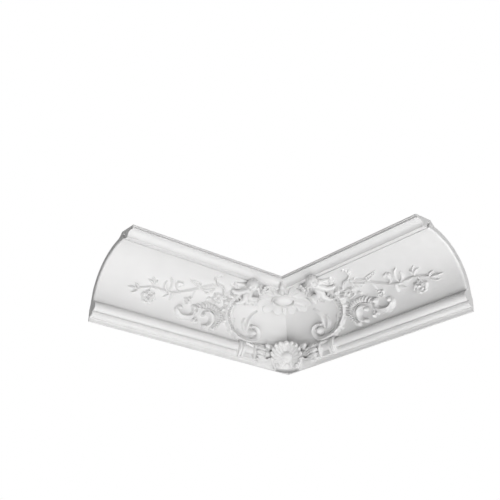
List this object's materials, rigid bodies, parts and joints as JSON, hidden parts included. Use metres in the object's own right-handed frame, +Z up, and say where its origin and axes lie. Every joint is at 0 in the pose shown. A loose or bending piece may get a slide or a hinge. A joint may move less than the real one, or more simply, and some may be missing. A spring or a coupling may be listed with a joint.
{
  "type": "cornice moulding corner",
  "caption": "Inside corner of a coved cornice moulding, with an oval cartouche, winged putti, scrolls, flower sprays and a palmette cast in relief.",
  "frame": {"origin": "on the ceiling flange, on the mitre, 120 mm out from both walls", "axes": "+Z up into the ceiling, +X along the leg on the back wall, away from the room corner, +Y into the back wall; the other leg runs along -Y on the side wall"},
  "size_m": [0.5, 0.5, 0.15],
  "materials": {
    "white_primed_moulding": "matt white primer on a fine cast surface"
  },
  "bodies": {
    "root": {"cornice_corner": "white_primed_moulding"}
  },
  "joints": []
}
